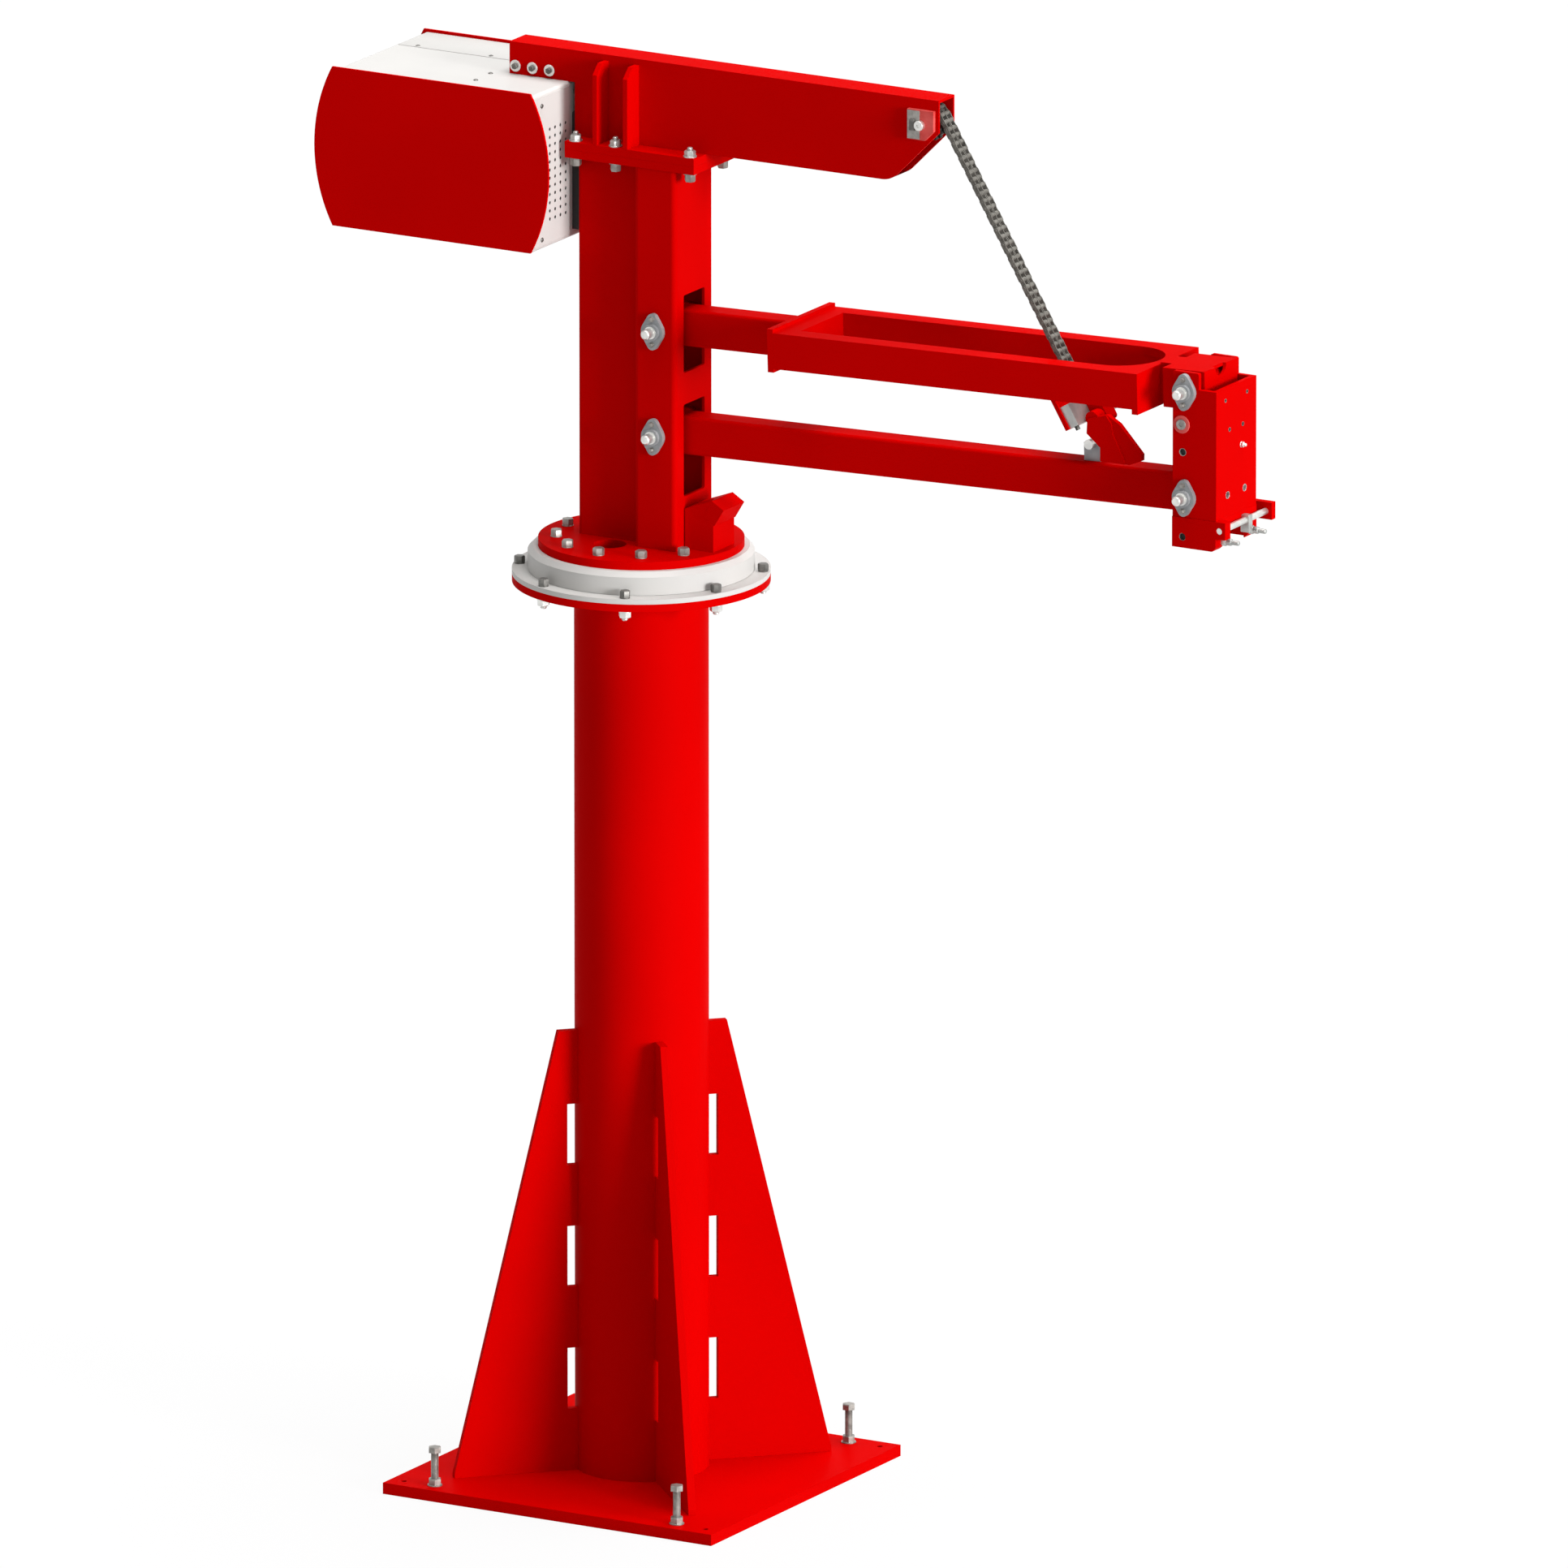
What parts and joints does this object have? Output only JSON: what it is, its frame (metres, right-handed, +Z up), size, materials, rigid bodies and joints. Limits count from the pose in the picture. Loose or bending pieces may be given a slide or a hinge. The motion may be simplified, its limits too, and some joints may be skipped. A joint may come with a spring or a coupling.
{
  "type": "articulating arm hoist",
  "caption": "Floor column with a slewing mast, overhead boom and chain hoist that raises a parallel lift arm with a tool bracket at its end",
  "frame": {"origin": "centre of the base plate's underside, on the column's axis", "axes": "+Z up, +X along the boom and the arms at rest, +Y to the far side"},
  "size_m": [2.443, 0.9144, 3.5327],
  "materials": {
    "red_paint": "gloss red enamel over welded steel",
    "white_paint": "off-white powder coat",
    "zinc_steel": "zinc plated and turned steel",
    "bearing_grey": "grey painted casting",
    "dark_steel": "oiled dark steel",
    "chain_steel": "oiled chain steel",
    "machined_grey": "machined grey steel",
    "black_rubber": "matt black rubber"
  },
  "bodies": {
    "pedestal": {"base_plate": "red_paint", "anchor_bolts": "zinc_steel", "column_pipe": "red_paint", "column_gussets": "red_paint", "column_flange": "red_paint", "slew_ring_fixed": "white_paint"},
    "mast": {"slew_ring_turning": "white_paint", "turntable_disc": "red_paint", "mast_rear_tube": "red_paint", "mast_front_tube": "red_paint", "mast_bearings": "bearing_grey", "stop_post": "red_paint", "stop_pad": "red_paint", "mast_top_plate": "red_paint", "boom_base_plate": "red_paint", "boom": "red_paint", "boom_ribs": "red_paint", "chain_sheave": "dark_steel", "sheave_axle": "zinc_steel", "sheave_keepers": "red_paint", "hoist_body": "white_paint", "hoist_panel_near": "red_paint", "hoist_panel_far": "red_paint", "hoist_lug": "dark_steel", "hoist_backing": "black_rubber", "boom_chain": "chain_steel", "lift_chain": "chain_steel"},
    "upper_arm": {"upper_arm_tube": "red_paint", "upper_arm_pins": "zinc_steel", "frame_end_plates": "red_paint", "frame_rails": "red_paint", "frame_webs": "red_paint", "arm_head": "red_paint", "chain_hanger": "red_paint", "load_block": "machined_grey", "chain_clevis": "red_paint", "clevis_pin": "zinc_steel", "slack_lever": "red_paint"},
    "lower_arm": {"lower_arm_tube": "red_paint", "lower_arm_pins": "zinc_steel", "stop_lug": "machined_grey", "stop_pin": "zinc_steel"},
    "tool_bracket": {"bracket_sides": "red_paint", "bracket_face": "red_paint", "bracket_collar": "red_paint", "fork_pin": "zinc_steel", "bracket_bearings": "bearing_grey"}
  },
  "joints": [
    {"name": "slew", "type": "hinge", "parent": "pedestal", "child": "mast", "pos_m": [0, 0, 2.2665], "axis": [0, 0, 1], "range_deg": [-170, 170]},
    {"name": "arm_lift", "type": "hinge", "parent": "mast", "child": "upper_arm", "pos_m": [0.089, 0, 2.882], "axis": [0, -1, 0], "range_deg": [-33.1, 16.4], "deforming": ["lift_chain"]},
    {"name": "lower_arm_follow", "type": "hinge", "parent": "mast", "child": "lower_arm", "pos_m": [0.089, 0, 2.622], "axis": [0, -1, 0], "range_deg": [-33.1, 16.4]},
    {"name": "bracket_level", "type": "hinge", "parent": "upper_arm", "child": "tool_bracket", "pos_m": [1.55343, 0, 2.92291], "axis": [0, -1, 0], "range_deg": [-16.4, 33.1]}
  ],
  "couplings": [
    {"joint": "lower_arm_follow", "follows": "arm_lift", "ratio": 1},
    {"joint": "bracket_level", "follows": "arm_lift", "ratio": -1}
  ]
}
